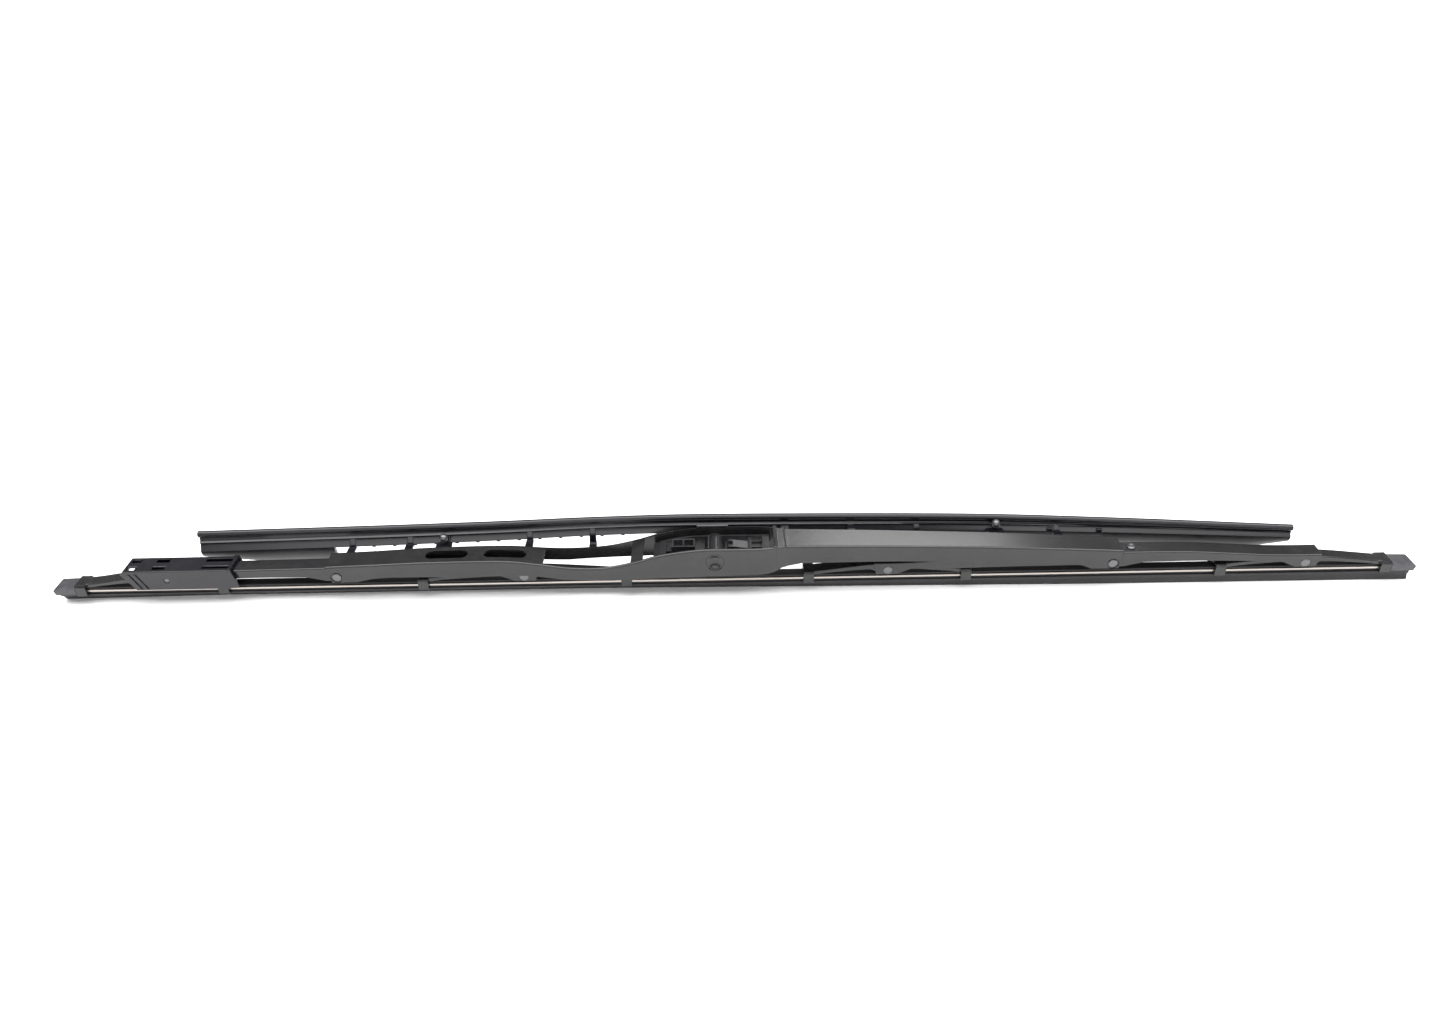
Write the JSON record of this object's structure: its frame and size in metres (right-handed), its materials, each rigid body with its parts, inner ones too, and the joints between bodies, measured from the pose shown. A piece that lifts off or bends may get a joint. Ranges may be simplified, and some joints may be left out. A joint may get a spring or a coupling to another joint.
{
  "type": "windshield wiper blade",
  "caption": "Windshield wiper blade with a tree of pressed levers, claws that hold a rubber lip on two steel strips, a pivoting arm adapter and a clip-on spoiler.",
  "frame": {"origin": "middle of the cross rivet that the arm adapter turns on", "axes": "+X along the blade, +Z away from the glass, +Y towards the spoiler"},
  "size_m": [0.6508, 0.0291, 0.0317],
  "materials": {
    "lever_paint": "satin charcoal paint",
    "yoke_paint": "satin charcoal paint",
    "rivet_steel": "dull coated steel",
    "black_plastic": "fine grained black plastic",
    "adapter_plastic": "smooth black plastic",
    "bush_plastic": "waxy grey plastic",
    "cap_plastic": "grey plastic",
    "strip_steel": "bright rolled spring steel",
    "lip_rubber": "graphite-dusted rubber"
  },
  "bodies": {
    "main": {"main_lever": "lever_paint", "cross_rivet": "lever_paint", "left_pivot_rivet": "rivet_steel", "right_pivot_rivet": "rivet_steel", "spoiler_wing": "black_plastic", "spoiler_studs": "rivet_steel"},
    "adapter": {"adapter_body": "adapter_plastic", "adapter_window_frame": "adapter_plastic"},
    "latch": {"adapter_latch": "adapter_plastic"},
    "left_secondary": {"left_secondary_lever": "lever_paint", "left_pivot_bush": "bush_plastic", "end_cover": "black_plastic", "cover_catch": "rivet_steel", "yoke_rivet_a": "rivet_steel", "yoke_rivet_b": "rivet_steel"},
    "right_secondary": {"right_secondary_lever": "lever_paint", "right_pivot_bush": "bush_plastic", "top_boss": "rivet_steel", "yoke_rivet_c": "rivet_steel", "yoke_rivet_d": "rivet_steel"},
    "outer_left_yoke": {"yoke_a": "yoke_paint", "left_end_cap": "cap_plastic"},
    "inner_left_yoke": {"yoke_b": "yoke_paint"},
    "inner_right_yoke": {"yoke_c": "yoke_paint"},
    "outer_right_yoke": {"yoke_d": "yoke_paint", "right_end_cap": "cap_plastic"},
    "wiping_element": {"wiper_rubber": "lip_rubber", "front_strip": "strip_steel", "back_strip": "strip_steel"}
  },
  "joints": [
    {"name": "adapter_pivot", "type": "hinge", "parent": "main", "child": "adapter", "pos_m": [0, 0, 0], "axis": [0, -1, 0], "range_deg": [-8, 8]},
    {"name": "latch_flex", "type": "hinge", "parent": "adapter", "child": "latch", "pos_m": [0.0157, 0, 0.0026], "axis": [0, -1, 0], "range_deg": [0, 8], "stiffness_Nm_per_rad": 0.05},
    {"name": "blade_flex", "type": "hinge", "parent": "main", "child": "left_secondary", "pos_m": [-0.179, 0, -0.0078], "axis": [0, -1, 0], "range_deg": [-0.9, 2.3], "stiffness_Nm_per_rad": 25, "deforming": ["wiper_rubber", "front_strip", "back_strip"]},
    {"name": "right_lever_pivot", "type": "hinge", "parent": "main", "child": "right_secondary", "pos_m": [0.188, 0, -0.0078], "axis": [0, -1, 0], "range_deg": [-2.3, 0.9]},
    {"name": "outer_left_yoke_pivot", "type": "hinge", "parent": "left_secondary", "child": "outer_left_yoke", "pos_m": [-0.269, 0, -0.0106], "axis": [0, -1, 0], "range_deg": [-0.5, 1.2]},
    {"name": "inner_left_yoke_pivot", "type": "hinge", "parent": "left_secondary", "child": "inner_left_yoke", "pos_m": [-0.091, 0, -0.0106], "axis": [0, -1, 0], "range_deg": [-1.1, 0.5]},
    {"name": "inner_right_yoke_pivot", "type": "hinge", "parent": "right_secondary", "child": "inner_right_yoke", "pos_m": [0.082, 0, -0.0106], "axis": [0, -1, 0], "range_deg": [-0.5, 1.3]},
    {"name": "outer_right_yoke_pivot", "type": "hinge", "parent": "right_secondary", "child": "outer_right_yoke", "pos_m": [0.2805, 0, -0.0106], "axis": [0, -1, 0], "range_deg": [-1.3, 0.5]},
    {"name": "wiping_element_rise", "type": "slide", "parent": "main", "child": "wiping_element", "axis": [0, 0, 1], "range_m": [-0.0019, 0.00485]}
  ],
  "couplings": [
    {"joint": "right_lever_pivot", "follows": "blade_flex", "ratio": -0.954},
    {"joint": "outer_left_yoke_pivot", "follows": "blade_flex", "ratio": 0.504},
    {"joint": "inner_left_yoke_pivot", "follows": "blade_flex", "ratio": -0.467},
    {"joint": "inner_right_yoke_pivot", "follows": "blade_flex", "ratio": 0.543},
    {"joint": "outer_right_yoke_pivot", "follows": "blade_flex", "ratio": -0.54},
    {"joint": "wiping_element_rise", "follows": "blade_flex", "m_per_rad": 0.1203}
  ]
}
